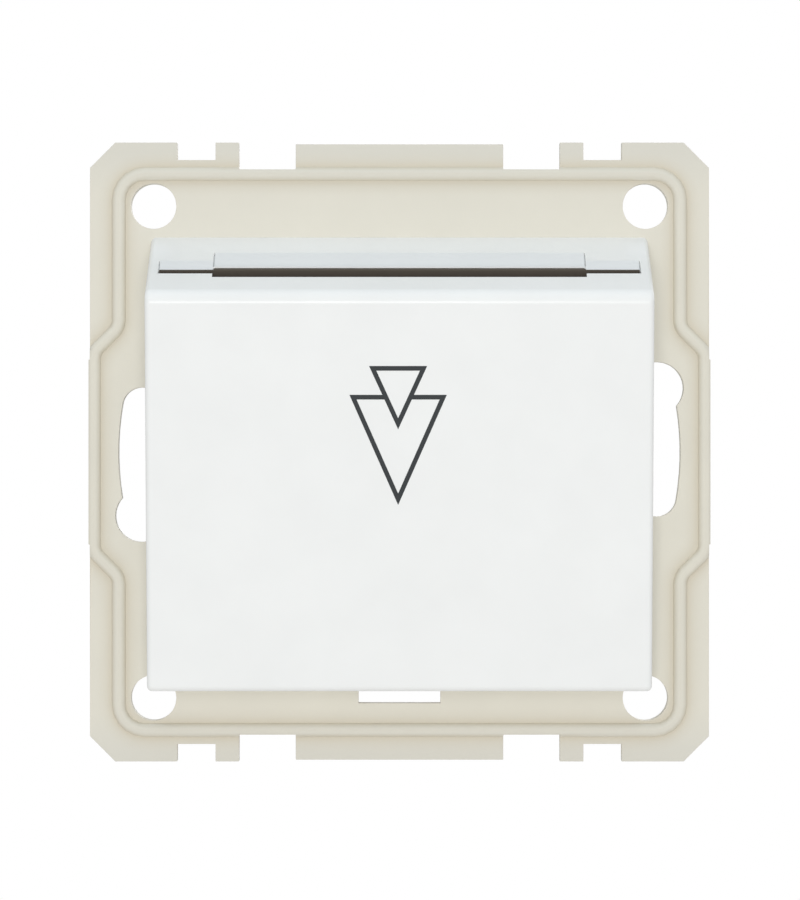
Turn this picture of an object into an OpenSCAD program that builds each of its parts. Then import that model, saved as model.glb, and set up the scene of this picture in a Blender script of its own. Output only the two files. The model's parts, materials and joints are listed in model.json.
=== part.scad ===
// Hotel key card switch: a wall plate that carries a card holder in front and a switch insert behind.
// Millimetres, +Z up, the front faces -Y. The origin is the centre of the plate's back face.

/* [Support plate] */
// Side of the square plate
plate_w = 71; // [68:0.5:76]
// Thickness of the plate
plate_t = 2; // [1.8:0.1:2.6]
// Length cut off each edge at the corners
plate_chamfer = 2.9; // [1:0.1:4]
// Pitch of the four corner holes
hole_pitch = 56.4; // [55:0.1:57.5]
// Diameter of the corner holes
hole_d = 5.2; // [4:0.1:5.4]
// Half width of the middle tab on the top and bottom edges
tab_half = 11.9; // [8:0.1:14]
// Set-back of the middle tab from the other lugs
tab_set = 0.2; // [0.1:0.05:0.4]
// Width of the wide notch beside the middle tab
wide_notch_w = 6.5; // [4:0.1:7]
// Depth of the wide notch
wide_notch_d = 3.1; // [1:0.1:3.4]
// Width of the small lug between the notches
small_lug_w = 2.7; // [1.5:0.1:4]
// Width of the narrow notch
narrow_notch_w = 4.4; // [2:0.1:5]
// Depth of the narrow notch
narrow_notch_d = 2; // [1:0.1:3]
// Outward swell of the side edges
side_swell = 0.15; // [0.05:0.05:0.5]
// Least web between the box screw slots and the side edges
slot_web = 1.5; // [1:0.1:2.5]
// Half height of the swelled stretch of each side edge
side_swell_half = 10.6; // [8:0.1:12]

/* [Bead] */
// Radius of the raised bead's round section
bead_r = 0.85; // [0.7:0.05:1]
// Depth of the bead's axis under the plate's face
bead_sink = 0.2; // [0.1:0.05:0.3]
// Distance from the side edges to the bead's axis
bead_inset_x = 3.3; // [3:0.1:3.6]
// Distance from the top and bottom edges to the bead's axis
bead_inset_z = 3.6; // [3.4:0.1:3.8]
// Bend radius of the bead's axis at the corners
bead_corner_r = 3; // [2:0.1:3.5]
// Outward jog of the bead at the middle of each side
bead_jog = 2.85; // [2:0.05:3.2]
// Height of the middle of the jog above the plate's centre
bead_jog_z = 12.9; // [12:0.1:15]
// Bend radius of the bead's axis at the jogs
bead_jog_r = 2; // [1:0.1:2.5]

/* [Box screw slots] */
// Pitch of the wall box screws
box_pitch = 60; // [59.5:0.1:60.5]
// Width of the arc slots
arc_slot_w = 4.5; // [4:0.1:4.8]
// Angle from the horizontal to the closed end of an arc slot
arc_slot_angle = 9.9; // [6:0.1:12]
// Angle from the horizontal to the keyhole
keyhole_angle = 13.9; // [12:0.1:16]
// Diameter of the keyhole
keyhole_d = 6; // [5.5:0.1:6.4]
// Outward shift of the keyhole from the screws' circle
keyhole_out = 0.5; // [0.2:0.1:0.8]

/* [Card] */
// Width of the card
card_w = 54; // [53.5:0.1:54.2]
// Thickness of the card
card_t = 0.76; // [0.7:0.02:0.9]
// Room beside the card at each side
card_side_play = 0.25; // [0.2:0.05:0.3]
// Room across the card's thickness
card_play = 0.24; // [0.2:0.02:0.4]

/* [Cover] */
// Width of the cover
cover_w = 57; // [56.8:0.1:60]
// Height of the cover's top edge at the plate
cover_top = 24.6; // [24.2:0.1:25.2]
// Height of the cover's underside, below the plate's centre
cover_drop = 27; // [26.7:0.1:27.3]
// Distance of the ridge from the plate's face
ridge_h = 13.6; // [13.2:0.1:15]
// Height of the ridge above the plate's centre
ridge_z = 17.7; // [17.2:0.1:18]
// Radius of the ridge
ridge_r = 1.75; // [1:0.05:2]
// Distance of the cover's front from the plate's face at its foot
foot_h = 8.5; // [8.2:0.1:9.5]
// Radius of the front edge at the foot
foot_r = 0.7; // [0.3:0.1:1]
// Thickness of the front wall
front_wall = 2; // [1.6:0.1:2.2]
// Thickness of the sloped top wall
top_wall = 1.6; // [1.4:0.1:1.8]
// Thickness of the bottom wall
bottom_wall = 1.6; // [1.4:0.1:1.8]
// Thickness of the side walls
side_wall = 1.2; // [1:0.05:1.2]
// Depth of the ribs behind the front wall
rib_d = 3; // [2.6:0.1:3.2]
// Thickness of the ribs
rib_t = 1; // [0.8:0.1:1.4]
// Places of the ribs to each side of the middle
rib_x = 12; // [11:0.5:14]
// Pitch from the inner to the outer rib
rib_pitch = 10; // [8:0.5:11]

/* [Card slot] */
// Width of the wide middle stretch of the slot
mouth_w = 42.2; // [38:0.1:46]
// Room from the guide's face to the front edge of the wide stretch
mouth_gap = 1.85; // [1.5:0.05:2.2]
// Thickness of the guide's tongue in the slot
tongue_t = 0.6; // [0.5:0.05:1]
// Thickness of the tongue's top at the narrow ends
tongue_tip = 0.2; // [0.15:0.05:0.4]
// Run of the lead-in slope behind the wide stretch
lead_run = 3.4; // [2:0.1:4]
// Depth of the lead-in slope at the slot
lead_d = 0.4; // [0.2:0.05:0.6]
// Run of the lead-in slopes behind the narrow ends
end_lead_run = 1.9; // [1:0.1:2.5]

/* [Snap hooks] */
// Half width of the bottom window in the plate
hook_window_half = 4.7; // [4:0.1:6]
// Reach of the bottom window below the cover
hook_window_drop = 1.8; // [1:0.1:2]
// Distance of the two top hooks from the middle
top_hook_x = 18; // [16:0.5:19]
// Width of each top hook
top_hook_w = 6; // [4:0.1:6.4]
// Thickness of the hooks
hook_t = 1.3; // [1.1:0.1:1.4]
// Height of the barbs
barb_h = 0.8; // [0.5:0.1:0.9]
// Thickness of the barbs
barb_t = 0.7; // [0.5:0.05:0.8]

/* [Card guide] */
// Wall thickness of the guide
guide_wall = 1.2; // [1:0.05:1.3]
// Room around the guide inside the cover
guide_play = 0.5; // [0.4:0.05:0.6]
// Reach of the card stop in front of the guide's face
stop_reach = 2.6; // [2:0.1:3]
// Half width of the card stop
stop_half = 10; // [7:0.5:10.5]
// Height of the upper guide screws
guide_screw_top_z = 15; // [14:0.5:15.5]
// Depth of the lower guide screws below the plate's centre
guide_screw_drop = 17; // [16:0.5:17.5]
// Radius of the guide screws
guide_screw_r = 1; // [0.9:0.05:1.1]
// Radius of the guide screws' heads
guide_head_r = 1.9; // [1.7:0.05:2]
// Height of the guide screws' heads
guide_head_h = 1; // [0.8:0.05:1.2]
// Thread length of the guide screws inside the guide
guide_thread = 2.2; // [1.8:0.1:2.4]

/* [Card lever] */
// Height of the hinge pin
pin_z = 16.5; // [16:0.1:17]
// Radius of the hinge pin
pin_r = 1; // [0.8:0.05:1.2]
// Radius of the lever's hub and of the ears
hub_r = 2.3; // [2.1:0.05:2.5]
// Half width of the lever's arm
lever_half = 4.5; // [4:0.1:5]
// Thickness of the lever's arm
arm_t = 1.6; // [1.4:0.05:1.8]
// Drop of the lever's end below the plate's centre
lever_drop = 4.5; // [4.2:0.1:4.7]
// Reach of the nose in front of the guide's face
nose_reach = 2.2; // [1.8:0.1:2.4]
// Swing of the lever when a card is in, in degrees
lever_swing = 7.5; // [6.5:0.1:7.5]
// Radius of the lever's push pad
pad_r = 1.4; // [1.2:0.05:1.5]
// Half length of the push pad
pad_half = 1.8; // [1.5:0.1:2]
// Reach of the push pad behind the plate's face
pad_reach = 0.5; // [0.4:0.05:0.6]
// Thickness of the ears
ear_t = 1.8; // [1.4:0.1:2.2]
// Distance from the middle to the inside of the ears
ear_x = 6.6; // [6.4:0.1:7]

/* [Switch insert] */
// Width of the insert
insert_w = 42; // [41:0.1:42.5]
// Height of the insert
insert_h = 36; // [35:0.1:37]
// Corner radius of the insert
insert_r = 2.5; // [1.5:0.1:3]
// Depth of the pocket in the plate's back
pocket_d = 0.8; // [0.6:0.05:0.9]
// Thickness of the insert's cap
cap_t = 3; // [2.6:0.1:3.4]
// Depth of the insert's base
base_d = 21.8; // [21:0.1:25]
// Wall thickness of the base
base_wall = 1.6; // [1.4:0.1:1.8]
// Length of the plunger's sleeve behind the cap
sleeve_len = 4.8; // [4:0.1:5]
// Outer radius of the plunger's sleeve
sleeve_r = 5; // [4.5:0.1:5.5]
// Distance from the insert's sides to its screws
column_inset = 3.1; // [3:0.1:3.4]
// Radius of the housing screws
housing_screw_r = 1.25; // [1.1:0.05:1.3]
// Radius of the housing screws' heads
housing_head_r = 2.2; // [2:0.05:2.3]
// Height of the housing screws' heads
housing_head_h = 1.6; // [1.4:0.1:2]
// Height of the plate's screw bosses
plate_boss_h = 1.8; // [1.6:0.1:1.9]

/* [Plunger and contacts] */
// Radius of the plunger's stem
stem_r = 3; // [2.8:0.1:3.2]
// Radius of the plunger's neck
neck_r = 1.75; // [1.5:0.05:1.8]
// Length of the neck behind the bridge's front face
neck_len = 4.4; // [4:0.1:5]
// Thickness of the contact strips
strip_t = 1; // [0.8:0.05:1.1]
// Half height of the contact bridge
bridge_half = 3.5; // [3.2:0.1:4]
// Radius of the contact tips
tip_r = 2; // [1.6:0.05:2.2]
// Height of the contact tips
tip_h = 1.2; // [1:0.05:1.3]
// Thickness of the retaining ring
ring_t = 0.8; // [0.6:0.05:0.9]
// Outer radius of the retaining ring
ring_r = 3.2; // [3:0.05:3.4]
// Length of the return spring
spring_len = 7.2; // [6.8:0.1:7.6]

/* [Terminals] */
// Distance of the terminals from the middle
terminal_x = 10.5; // [10.2:0.1:10.8]
// Radius of the wire entries
wire_r = 1.7; // [1.4:0.05:1.8]
// Height of the collars round the wire entries
collar_h = 0.8; // [0.5:0.1:1.2]
// Radius of the collars round the wire entries
collar_r = 3.2; // [2.8:0.1:3.6]
// Radius of the terminal screws
clamp_r = 1.5; // [1.3:0.05:1.6]
// Radius of the terminal screws' heads
clamp_head_r = 2.5; // [2.2:0.05:2.6]
// Height of the terminal screws' heads
clamp_head_h = 2.2; // [2:0.1:2.4]
// Depth of the contact tab's upper face below the insert's top
tab_drop = 9; // [8.8:0.1:9.2]
// Half width of the contact tab
tab_half_w = 2.4; // [2:0.1:2.6]
// Wall thickness of the cage
cage_t = 1; // [0.8:0.05:1.1]
// Thickness of the cage's threaded top
cage_top_t = 2; // [1.8:0.1:2.2]
// Length of the cage along the wire
cage_d = 4.6; // [4:0.1:4.8]
// Room for the wire under the tab when the cage is down
wire_room = 5; // [4.6:0.1:5.4]
// Rise of the cage from open to closed
cage_rise = 2.4; // [2:0.1:2.5]

/* [Hidden] */
$fn = 48;

// Clearances
running = 0.05;
seat = 0.02;
part_gap = 0.3;
rest_gap = 0.15;
through = 1;

// Places along Y: h is the distance in front of the plate's face
function y_of(h) = -plate_t - h;
face_y = y_of(0);
cover_bottom = -cover_drop;

// Slopes of the cover's top and front
top_a = atan((cover_top - ridge_z) / ridge_h);
front_a = atan((ridge_h - foot_h) / (ridge_z - cover_bottom));

// Height of a line parallel to the sloped top, a depth below it
function top_z(h, depth = 0) = cover_top - depth / cos(top_a) - h * tan(top_a);
// Distance from the plate of a line parallel to the front, a setback behind it along Y
function front_h(z, setback = 0) = ridge_h - setback - (ridge_z - z) * tan(front_a);
// Where two such lines cross, as [h, z]
function crossing(depth, setback) =
    let (h = (front_h(0, setback) + top_z(0, depth) * tan(front_a)) / (1 + tan(top_a) * tan(front_a)))
    [h, top_z(h, depth)];
// A point [h, z] as [y, z]
function at(p) = [y_of(p[0]), p[1]];

// The card's channel
card_gap = card_t + card_play;
front_set = front_wall / cos(front_a);
guide_set = front_set + rib_d + card_gap;
guide_back_set = guide_set + guide_wall / cos(front_a);
tongue_set = guide_set + tongue_t / cos(front_a);
tip_set = guide_set + tongue_tip / cos(front_a);
mouth_half = mouth_w / 2;
mouth_point = crossing(0, guide_set);

// The guide inside the cover
cavity_half = cover_w / 2 - side_wall;
slot_half = min(card_w / 2 + card_side_play, cavity_half - running);
guide_half = cavity_half - guide_play;
guide_depth = top_wall + guide_play;
guide_bottom = cover_bottom + bottom_wall + part_gap;
guide_boss_wall = 1.3;
guide_boss_r = guide_screw_r + guide_boss_wall;
guide_screw_x = guide_half - guide_play - guide_boss_r;
guide_screw_places = [for (sx = [-1, 1], z = [guide_screw_top_z, -guide_screw_drop]) [sx * guide_screw_x, z]];
guide_seat_y = -guide_head_h - 2 * rest_gap;

// The lever
pin_h = front_h(pin_z, guide_back_set) - hub_r - guide_play;
pin_y = y_of(pin_h);
arm_front = front_h(-lever_drop, guide_back_set) - guide_play;
arm_back = arm_front - arm_t;
arm_top = pin_z - hub_r - 2 * part_gap;
pad_h = pad_r - pad_reach;
nose_up = 2;
nose_z = nose_up - lever_drop;
nose_h = front_h(nose_z, guide_set) + nose_reach;
nose_flat = 0.7;
nose_rise = 5.4;
lever_window = lever_half + 2 * part_gap;
window_top = nose_z + nose_rise + 4 * part_gap;
window_bottom = -lever_drop - 3 * part_gap;
hub_right = 2.6;
plunger_travel = pin_z * sin(lever_swing);

// Places of the insert along Y
cap_y = -pocket_d;
base_y = cap_y + cap_t;
back_y = base_y + base_d;
floor_y = back_y - base_wall;
plunger_y = y_of(-pad_reach) + rest_gap;
bridge_y = base_y + sleeve_len + running;
ring_y = bridge_y + strip_t;
spring_y = ring_y + ring_t;
spring_seat_y = spring_y + spring_len;
fixed_tip_y = ring_y + tip_h + plunger_travel + running;
fixed_y = fixed_tip_y + tip_h;
cage_set = 1;
cage_y = fixed_y + strip_t + cage_set + cage_d / 2;
column_x = insert_w / 2 - column_inset;
column_z = insert_h / 2 - column_inset;
column_wall = 0.9;
column_r = housing_head_r + column_wall;
column_places = [for (sx = [-1, 1], sz = [-1, 1]) [sx * column_x, sz * column_z]];
housing_seat_y = back_y - housing_head_h - part_gap;
plate_boss_r = housing_screw_r + 1.25;
plate_boss_end = 0.6;
housing_tip_y = y_of(plate_boss_h - plate_boss_end - part_gap);

// Heights of the terminals
tab_top = insert_h / 2 - tab_drop;
tab_bottom = tab_top - strip_t;
cage_floor = tab_bottom - wire_room;
tab_play = 1.2;
cage_gap = tab_top + tab_play;
clamp_head_z = cage_gap + cage_top_t + cage_rise + rest_gap;
wire_z = tab_bottom - wire_room / 2;
strip_margin = 1.5;
strip_half = tip_r + strip_margin;
strip_bottom = -6;

// Shares of a screw head's radius that its recess reaches and is wide
recess_reach = 0.7;
recess_half = 0.14;

// Small shared modules

// A flat shape in [y, z], carried along X
module along_x(x0, x1) translate([x0, 0, 0]) rotate([90, 0, 90]) linear_extrude(x1 - x0) children();
// A flat shape in [x, z], carried along Y
module along_y(y0, y1) translate([0, y1, 0]) rotate([90, 0, 0]) linear_extrude(y1 - y0) children();
module rod_x(y, z, x0, x1, r) translate([x0, y, z]) rotate([0, 90, 0]) cylinder(r = r, h = x1 - x0);
module rod_y(x, z, y0, y1, r) translate([x, y0, z]) rotate([-90, 0, 0]) cylinder(r = r, h = y1 - y0);
module rod_z(x, y, z0, z1, r) translate([x, y, z0]) cylinder(r = r, h = z1 - z0);
module block(x, y, z) translate([x[0], y[0], z[0]]) cube([x[1] - x[0], y[1] - y[0], z[1] - z[0]]);
module both_sides() for (s = [0, 1]) mirror([s, 0, 0]) children();
module four_ways() for (sx = [0, 1], sz = [0, 1]) mirror([sx, 0, 0]) mirror([0, 0, sz]) children();

module rounded_rect(w, h, r) {
    square([w - 2 * r, h], center = true);
    square([w, h - 2 * r], center = true);
    for (sx = [-1, 1], sz = [-1, 1]) translate([sx * (w / 2 - r), sz * (h / 2 - r)]) circle(r);
}

// Corners that are rounded where they turn, for outlines and for the bead's path
function unit(v) = v / norm(v);
function wrap(list, i) = list[(i + len(list)) % len(list)];
function towards(path, i, step) = unit(wrap(path, i + step) - path[i]);
function half_angle(path, i) = acos(towards(path, i, -1) * towards(path, i, 1)) / 2;
function bend_point(path, radii, i, step) =
    path[i] + towards(path, i, step) * radii[i] / tan(half_angle(path, i));
function bend_centre(path, radii, i) =
    path[i] + unit(towards(path, i, -1) + towards(path, i, 1)) * radii[i] / sin(half_angle(path, i));

// A convex outline with a radius at each corner
module rounded_outline(path, radii) {
    polygon([for (i = [0 : len(path) - 1], step = [-1, 1]) bend_point(path, radii, i, step)]);
    for (i = [0 : len(path) - 1]) if (radii[i] > 0) translate(bend_centre(path, radii, i)) circle(radii[i]);
}

// Points along a path whose corners are bent to their radii
bend_steps = 5;
function bend_arc(path, radii, i) =
    let (
        centre = bend_centre(path, radii, i),
        from = bend_point(path, radii, i, -1) - centre,
        to = bend_point(path, radii, i, 1) - centre,
        turn = 180 - 2 * half_angle(path, i)
    )
    [
        for (k = [0 : bend_steps])
        centre + (sin(turn * (1 - k / bend_steps)) * from + sin(turn * k / bend_steps) * to) / sin(turn)
    ];
function bent_path(path, radii) = [for (i = [0 : len(path) - 1]) each bend_arc(path, radii, i)];

// A tube of triangles along points, with a direction square to the tube at each of them
wire_sides = 6;
curl_rings = 8;
function neighbour(points, i, step, closed) =
    closed ? wrap(points, i + step) : points[min(max(i + step, 0), len(points) - 1)];
function tangent(points, i, closed) = unit(neighbour(points, i, 1, closed) - neighbour(points, i, -1, closed));
function tube_ring(points, outs, r, i, sides, closed) =
    let (side = cross(tangent(points, i, closed), outs[i]))
    [for (k = [0 : sides - 1]) let (a = 360 * k / sides) points[i] + r * (cos(a) * outs[i] + sin(a) * side)];
module tube(points, outs, r, sides = wire_sides, closed = false) {
    count = len(points);
    rings = [for (i = [0 : count - 1]) each tube_ring(points, outs, r, i, sides, closed)];
    walls = [
        for (i = [0 : closed ? count - 1 : count - 2], k = [0 : sides - 1])
        let (turn = (k + 1) % sides, a = i * sides, b = (i + 1) % count * sides)
        each [[a + k, b + k, a + turn], [a + turn, b + k, b + turn]]
    ];
    last = (count - 1) * sides;
    ends = [for (k = [1 : sides - 2]) each [[0, k, k + 1], [last, last + k + 1, last + k]]];
    polyhedron(rings, closed ? walls : concat(walls, ends));
}
function least_gap(points, r) =
    min([
        for (i = [0 : len(points) - 1], j = [i + curl_rings / 2 : 1 : len(points) - 1]) norm(points[i] - points[j])
    ]) - 2 * r;

// Support plate

bead_x = plate_w / 2 - bead_inset_x;
bead_z = plate_w / 2 - bead_inset_z;
bead_side = [
    [bead_x, bead_z],
    [bead_x, bead_jog_z + bead_jog / 2],
    [bead_x + bead_jog, bead_jog_z - bead_jog / 2]
];
bead_side_r = [bead_corner_r, bead_jog_r, bead_jog_r];
bead_path = [
    each bead_side,
    for (i = [2 : -1 : 0]) [bead_side[i][0], -bead_side[i][1]],
    for (p = bead_side) -p,
    for (i = [2 : -1 : 0]) [-bead_side[i][0], bead_side[i][1]]
];
bead_radii = [for (i = [0 : 3]) each i % 2 == 0 ? bead_side_r : [bead_jog_r, bead_jog_r, bead_corner_r]];
bead_sides = 12;
bead_points = [for (p = bent_path(bead_path, bead_radii)) [p[0], face_y + bead_sink, p[1]]];
bead_outs = [
    for (i = [0 : len(bead_points) - 1]) let (run = tangent(bead_points, i, true)) [-run[2], 0, run[0]]
];

module plate_outline() {
    half = plate_w / 2;
    inner = half - plate_chamfer;
    polygon([
        for (a = [0 : 90 : 270], p = [[half, -inner], [half, inner]])
        [p[0] * cos(a) - p[1] * sin(a), p[0] * sin(a) + p[1] * cos(a)]
    ]);
    slot_reach = max(arc_slot_w / 2, keyhole_out + keyhole_d / 2);
    swell_half = max(half + side_swell, box_pitch / 2 + slot_reach + slot_web);
    square([2 * swell_half, 2 * side_swell_half], center = true);
}

module edge_notches() {
    half = plate_w / 2;
    wide = tab_half + wide_notch_w;
    narrow = wide + small_lug_w;
    depth_y = [face_y - 2 * bead_r, through];
    four_ways() {
        block([-through, wide], depth_y, [half - tab_set, half + through]);
        block([tab_half, wide], depth_y, [half - wide_notch_d, half + through]);
        block([narrow, narrow + narrow_notch_w], depth_y, [half - narrow_notch_d, half + through]);
    }
}

// One arc slot with its keyhole, on the right side
module arc_slot() {
    r = box_pitch / 2;
    y0 = face_y - through;
    y1 = through;
    translate([0, y1, 0])
        rotate([90, 0, 0])
        rotate([0, 0, -arc_slot_angle])
        rotate_extrude(angle = arc_slot_angle + keyhole_angle)
        translate([r - arc_slot_w / 2, 0])
        square([arc_slot_w, y1 - y0]);
    rod_y(r * cos(arc_slot_angle), -r * sin(arc_slot_angle), y0, y1, arc_slot_w / 2);
    key_r = r + keyhole_out;
    rod_y(key_r * cos(keyhole_angle), key_r * sin(keyhole_angle), y0, y1, keyhole_d / 2);
}

// A hook's window through the plate, with the ledge behind which its barb sits
barb_room = barb_h + part_gap;
ledge_y = -barb_t - part_gap;
module hook_window(x, z, ledge_z) {
    block(x, [face_y - through, through], z);
    block(x, [ledge_y, through], ledge_z);
}
bottom_hook_top = cover_bottom + hook_t;
top_hook_bottom = top_z(0, top_wall);
top_hook_top = top_hook_bottom + hook_t;

module support_plate() color("wheat") difference() {
    union() {
        along_y(face_y, 0) plate_outline();
        difference() {
            intersection() {
                tube(bead_points, bead_outs, bead_r, bead_sides, closed = true);
                along_y(face_y - 2 * bead_r, 0) plate_outline();
            }
            block(
                [-cover_w / 2 - part_gap, cover_w / 2 + part_gap],
                [face_y - 2 * bead_r - through, face_y],
                [cover_bottom - part_gap, cover_top + part_gap]
            );
        }
        for (p = column_places) rod_y(p[0], p[1], y_of(plate_boss_h), cap_y, plate_boss_r);
    }
    edge_notches();
    for (sx = [-1, 1], sz = [-1, 1])
        rod_y(sx * hole_pitch / 2, sz * hole_pitch / 2, face_y - through, through, hole_d / 2);
    arc_slot();
    rotate([0, 180, 0]) arc_slot();
    along_y(cap_y, through) rounded_rect(insert_w + 2 * rest_gap, insert_h + 2 * rest_gap, insert_r);
    block([-lever_window, lever_window], [face_y - through, through], [window_bottom, window_top]);
    for (p = column_places)
        rod_y(p[0], p[1], y_of(plate_boss_h - plate_boss_end), through, housing_screw_r + seat);
    for (p = guide_screw_places) {
        rod_y(p[0], p[1], face_y - through, through, guide_screw_r + rest_gap);
        rod_y(p[0], p[1], guide_seat_y, through, guide_head_r + rest_gap);
    }
    hook_window(
        [-hook_window_half, hook_window_half],
        [cover_bottom - hook_window_drop, bottom_hook_top + part_gap],
        [bottom_hook_top, bottom_hook_top + barb_room]
    );
    both_sides() hook_window(
        [top_hook_x - top_hook_w / 2 - part_gap, top_hook_x + top_hook_w / 2 + part_gap],
        [top_hook_bottom - part_gap, top_hook_top + part_gap],
        [top_hook_bottom - barb_room, top_hook_bottom]
    );
}

// Front cover

cover_corners = [
    at([0, cover_top]), at([ridge_h, ridge_z]), at([foot_h, cover_bottom]), at([0, cover_bottom])
];
cover_radii = [0, ridge_r, foot_r, 0];

module cover_cavity() {
    floor_z = cover_bottom + bottom_wall;
    polygon([
        at([-through, top_z(-through, top_wall)]),
        at(crossing(top_wall, front_set)),
        at([front_h(floor_z, front_set), floor_z]),
        at([-through, floor_z])
    ]);
}

// A rib behind the front wall, with a lead-in at its top
module rib_outline() {
    low = guide_bottom + 2 * guide_wall;
    high = crossing(top_wall, front_set)[1];
    face = guide_set - card_gap;
    polygon([
        at([front_h(low, front_set - seat), low]),
        at([front_h(low, face), low]),
        at([front_h(high - rib_d, face), high - rib_d]),
        at([front_h(high, front_set + seat), high]),
        at([front_h(high, front_set - seat), high])
    ]);
}

// The channel's cut through the sloped top, between two setbacks from the front
module slot_cut(back_set, near_set) {
    low = mouth_point[1] - 6 * top_wall;
    high = cover_top + through;
    polygon([
        at([front_h(low, back_set), low]),
        at([front_h(low, near_set), low]),
        at([front_h(high, near_set), high]),
        at([front_h(high, back_set), high])
    ]);
}

// A slope that leads the card to the slot
module lead_cut(back_set, run, depth) {
    edge = crossing(depth, back_set);
    polygon([
        at([edge[0] - run, top_z(edge[0] - run)]),
        at(edge),
        at([edge[0], top_z(edge[0]) + through]),
        at([edge[0] - run, top_z(edge[0] - run) + through])
    ]);
}

mouth_back_set = tongue_set + rest_gap;
end_back_set = tip_set + rest_gap;

// The cut at the narrow ends, which widens downwards round the tongue
module end_cut() {
    near_set = guide_set - card_gap + running;
    low = mouth_point[1] - 6 * top_wall;
    high = cover_top + through;
    polygon([
        at([front_h(low, mouth_back_set), low]),
        at([front_h(low, near_set), low]),
        at([front_h(high, near_set), high]),
        at([front_h(high, end_back_set), high]),
        at(crossing(0, end_back_set)),
        at(crossing(guide_depth, mouth_back_set))
    ]);
}

module front_cover() color("white") {
    difference() {
        along_x(-cover_w / 2, cover_w / 2) rounded_outline(cover_corners, cover_radii);
        along_x(-cavity_half, cavity_half) cover_cavity();
        along_x(-mouth_half, mouth_half) {
            slot_cut(mouth_back_set, guide_set - mouth_gap);
            lead_cut(mouth_back_set - seat, lead_run, lead_d);
        }
        along_x(-slot_half, slot_half) end_cut();
        both_sides() along_x(mouth_half, slot_half) lead_cut(end_back_set - 2 * seat, end_lead_run, lead_d / 2);
    }
    both_sides() for (x = [rib_x, rib_x + rib_pitch]) along_x(x - rib_t / 2, x + rib_t / 2) rib_outline();
    snap_hook(0, 2 * (hook_window_half - part_gap), cover_bottom, bottom_hook_top, 1);
    both_sides() snap_hook(top_hook_x, top_hook_w, top_hook_top, top_hook_bottom, -1);
}

// A hook that leaves the cover's back at one wall, with its barb on the inner side
module snap_hook(x, w, outer_z, inner_z, inward) {
    tip_y = -rest_gap;
    span = [x - w / 2, x + w / 2];
    barb_z = inner_z + inward * barb_h;
    block(span, [face_y - seat, tip_y], [min(outer_z, inner_z), max(outer_z, inner_z)]);
    along_x(span[0], span[1]) polygon([
        [tip_y - barb_t, inner_z - inward * seat],
        [tip_y - barb_t, barb_z],
        [tip_y - barb_t / 2, barb_z],
        [tip_y, inner_z - inward * seat]
    ]);
}

// Card guide

module guide_outline() {
    polygon([
        at([0, guide_bottom]),
        at([0, top_z(0, guide_depth)]),
        at(crossing(guide_depth, guide_set)),
        at([front_h(guide_bottom, guide_set), guide_bottom])
    ]);
}
module guide_cavity() {
    depth = guide_depth + guide_wall;
    low = guide_bottom + guide_wall;
    polygon([
        at([-through, low]),
        at([-through, top_z(-through, depth)]),
        at(crossing(depth, guide_back_set)),
        at([front_h(low, guide_back_set), low])
    ]);
}
// The tongue that rises through the slot and ends flush with the sloped top, between two setbacks
module tongue_outline(top_set) {
    low = crossing(guide_depth + guide_wall, guide_set)[1];
    polygon([
        at([front_h(low, tongue_set), low]),
        at([front_h(low, guide_set), low]),
        at(crossing(running, guide_set)),
        at(crossing(running, top_set)),
        at(crossing(guide_depth, tongue_set))
    ]);
}

module card_guide() color("saddlebrown") difference() {
    union() {
        difference() {
            along_x(-guide_half, guide_half) guide_outline();
            along_x(guide_wall - guide_half, guide_half - guide_wall) guide_cavity();
        }
        along_x(rest_gap - mouth_half, mouth_half - rest_gap) tongue_outline(tongue_set);
        along_x(2 * rest_gap - slot_half, slot_half - 2 * rest_gap) tongue_outline(tip_set);
        block(
            [-stop_half, stop_half],
            [y_of(front_h(guide_bottom, guide_set) + stop_reach), y_of(front_h(guide_bottom, guide_back_set))],
            [guide_bottom, guide_bottom + guide_wall]
        );
        intersection() {
            along_x(-guide_half, guide_half) guide_outline();
            union() {
                for (p = guide_screw_places) rod_y(p[0], p[1], y_of(ridge_h), face_y, guide_boss_r);
                both_sides() block(
                    [ear_x, ear_x + ear_t],
                    [y_of(ridge_h), y_of(pin_h - hub_r)],
                    [pin_z - hub_r, pin_z + hub_r]
                );
            }
        }
    }
    rod_x(pin_y, pin_z, -ear_x - ear_t - through, ear_x + ear_t + through, pin_r + seat);
    block([-lever_window, lever_window], [y_of(ridge_h), face_y + through], [window_bottom, window_top]);
    for (p = guide_screw_places) rod_y(p[0], p[1], y_of(guide_thread), face_y + through, guide_screw_r + seat);
    for (p = column_places)
        rod_y(p[0], p[1], y_of(plate_boss_h + part_gap), face_y + through, plate_boss_r + part_gap);
}

// A screw along Y, with its tip to the front and a cross recess in its head
module cross_screw(x, z, seat_y, tip_y, r, head_r, head_h) {
    difference() {
        union() {
            rod_y(x, z, tip_y, seat_y + seat, r);
            rod_y(x, z, seat_y, seat_y + head_h, head_r);
        }
        for (w = [[recess_reach, recess_half], [recess_half, recess_reach]] * head_r)
            block([x - w[0], x + w[0]], [seat_y + head_h / 2, seat_y + head_h + through], [z - w[1], z + w[1]]);
    }
}

module guide_screws() color("silver")
    for (p = guide_screw_places) cross_screw(
        p[0], p[1], guide_seat_y, y_of(guide_thread - rest_gap), guide_screw_r, guide_head_r, guide_head_h
    );

// Card lever

module lever_outline() {
    polygon([
        at([arm_back, -lever_drop]),
        at([arm_back, arm_top]),
        at([arm_front, arm_top]),
        at([arm_front, nose_z + nose_rise]),
        at([nose_h, nose_z + nose_flat]),
        at([nose_h, nose_z - nose_flat]),
        at([arm_front, -lever_drop])
    ]);
}

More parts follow.
